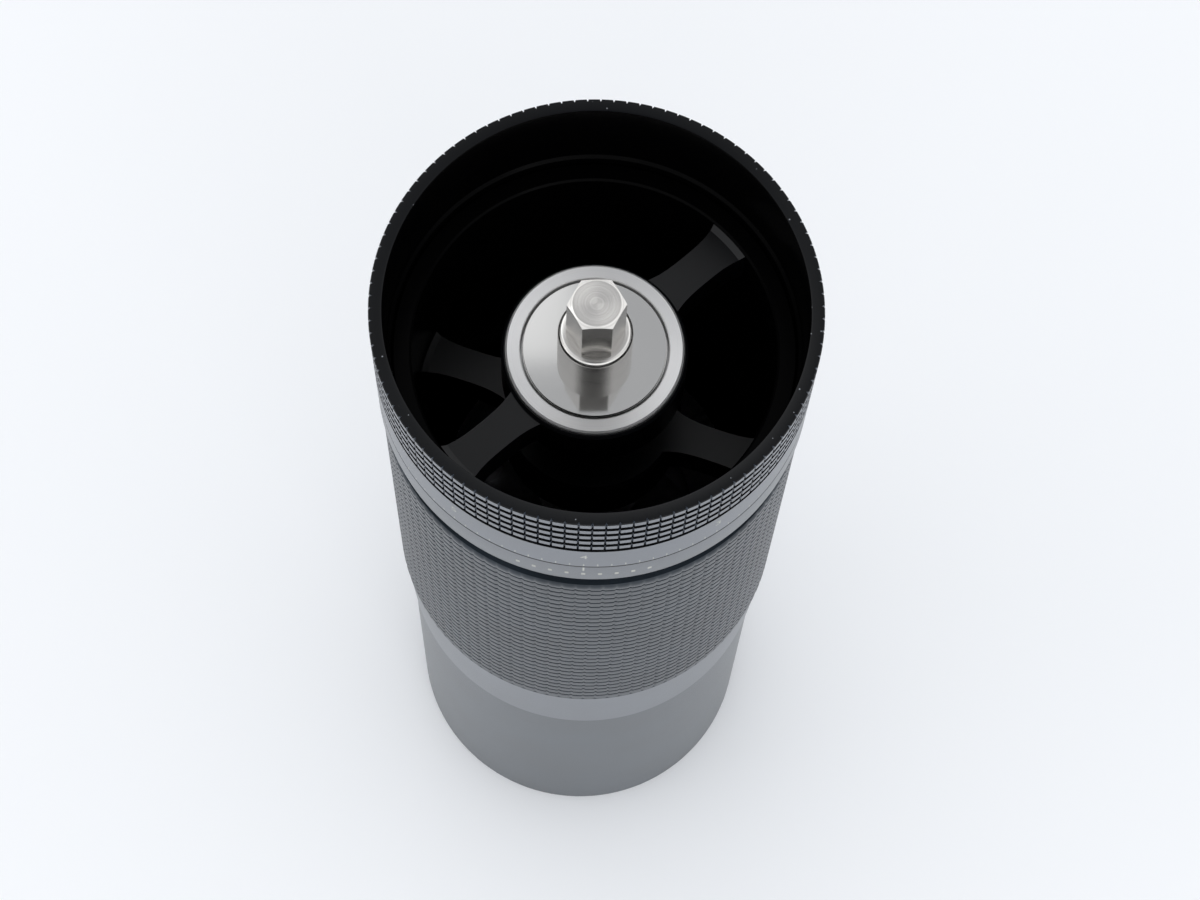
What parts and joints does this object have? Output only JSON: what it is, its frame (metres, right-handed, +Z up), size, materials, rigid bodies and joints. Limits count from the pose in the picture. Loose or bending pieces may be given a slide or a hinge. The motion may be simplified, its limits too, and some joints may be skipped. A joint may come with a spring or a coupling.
{
  "type": "hand coffee grinder",
  "caption": "Cylindrical hand coffee grinder with a knurled numbered dial, open hopper, hexagonal drive on two bridged bearings, conical burrs and a lift-off catch cup.",
  "frame": {"origin": "centre of the cup's base", "axes": "+Z up along the shaft, -Y towards the index mark"},
  "size_m": [0.061, 0.061, 0.1779],
  "materials": {
    "dark_anodised": "dark grey anodised, fine bead blast",
    "black_anodised": "black anodised",
    "stainless": "turned",
    "polished_stainless": "polished",
    "bearing_steel": "ground",
    "burr_steel": "milled",
    "magnet": "nickel plated",
    "seal_rubber": "matte",
    "brass_cage": "satin"
  },
  "bodies": {
    "cup": {"catch_cup": "dark_anodised", "cup_magnets": "magnet"},
    "housing": {"body_shell": "dark_anodised", "index_ring": "dark_anodised", "body_magnets": "magnet", "guide_pins": "bearing_steel", "outer_burr": "burr_steel", "burr_retaining_ring": "black_anodised", "detent_balls": "bearing_steel", "detent_springs": "bearing_steel", "backlash_spring": "bearing_steel"},
    "dial": {"dial_ring": "dark_anodised", "click_ring": "bearing_steel", "dial_retaining_ring": "bearing_steel"},
    "carrier": {"hopper_sleeve": "black_anodised", "upper_bridge": "black_anodised", "lower_bridge": "black_anodised", "upper_bearing_outer_ring": "bearing_steel", "lower_bearing_outer_ring": "bearing_steel", "bearing_shields": "bearing_steel", "bearing_lock_ring": "stainless", "lower_bearing_circlip": "bearing_steel", "wave_washer": "bearing_steel", "sleeve_seal": "seal_rubber", "bridge_screws": "bearing_steel"},
    "rotor": {"drive_shaft": "stainless", "bearing_cover_disc": "polished_stainless", "upper_bearing_inner_ring": "bearing_steel", "lower_bearing_inner_ring": "bearing_steel", "bearing_spacer": "bearing_steel", "burr_spacer": "bearing_steel", "inner_burr": "burr_steel", "drive_pin": "bearing_steel", "burr_washer": "bearing_steel", "burr_nut": "bearing_steel"},
    "upper_ball_set": {"upper_bearing_balls": "bearing_steel", "upper_ball_cage": "brass_cage"},
    "lower_ball_set": {"lower_bearing_balls": "bearing_steel", "lower_ball_cage": "brass_cage"}
  },
  "joints": [
    {"name": "cup_release", "type": "slide", "parent": "cup", "child": "housing", "axis": [0, 0, 1], "range_m": [0, 0.07]},
    {"name": "dial_turn", "type": "hinge", "parent": "housing", "child": "dial", "pos_m": [0, 0, 0.165], "axis": [0, 0, 1], "range_deg": [-144, 216]},
    {"name": "sleeve_lift", "type": "slide", "parent": "housing", "child": "carrier", "axis": [0, 0, 1], "range_m": [-0.00121, 0.00081], "deforming": ["backlash_spring"]},
    {"name": "shaft_spin", "type": "hinge", "parent": "carrier", "child": "rotor", "pos_m": [0, 0, 0.1556], "axis": [0, 0, 1], "continuous": true},
    {"name": "upper_ball_orbit", "type": "hinge", "parent": "carrier", "child": "upper_ball_set", "pos_m": [0, 0, 0.1556], "axis": [0, 0, 1], "continuous": true},
    {"name": "lower_ball_orbit", "type": "hinge", "parent": "carrier", "child": "lower_ball_set", "pos_m": [0, 0, 0.1316], "axis": [0, 0, 1], "continuous": true}
  ],
  "couplings": [
    {"joint": "sleeve_lift", "follows": "dial_turn", "m_per_rad": -0.00031831},
    {"joint": "upper_ball_orbit", "follows": "shaft_spin", "ratio": 0.3677},
    {"joint": "lower_ball_orbit", "follows": "shaft_spin", "ratio": 0.3677}
  ]
}
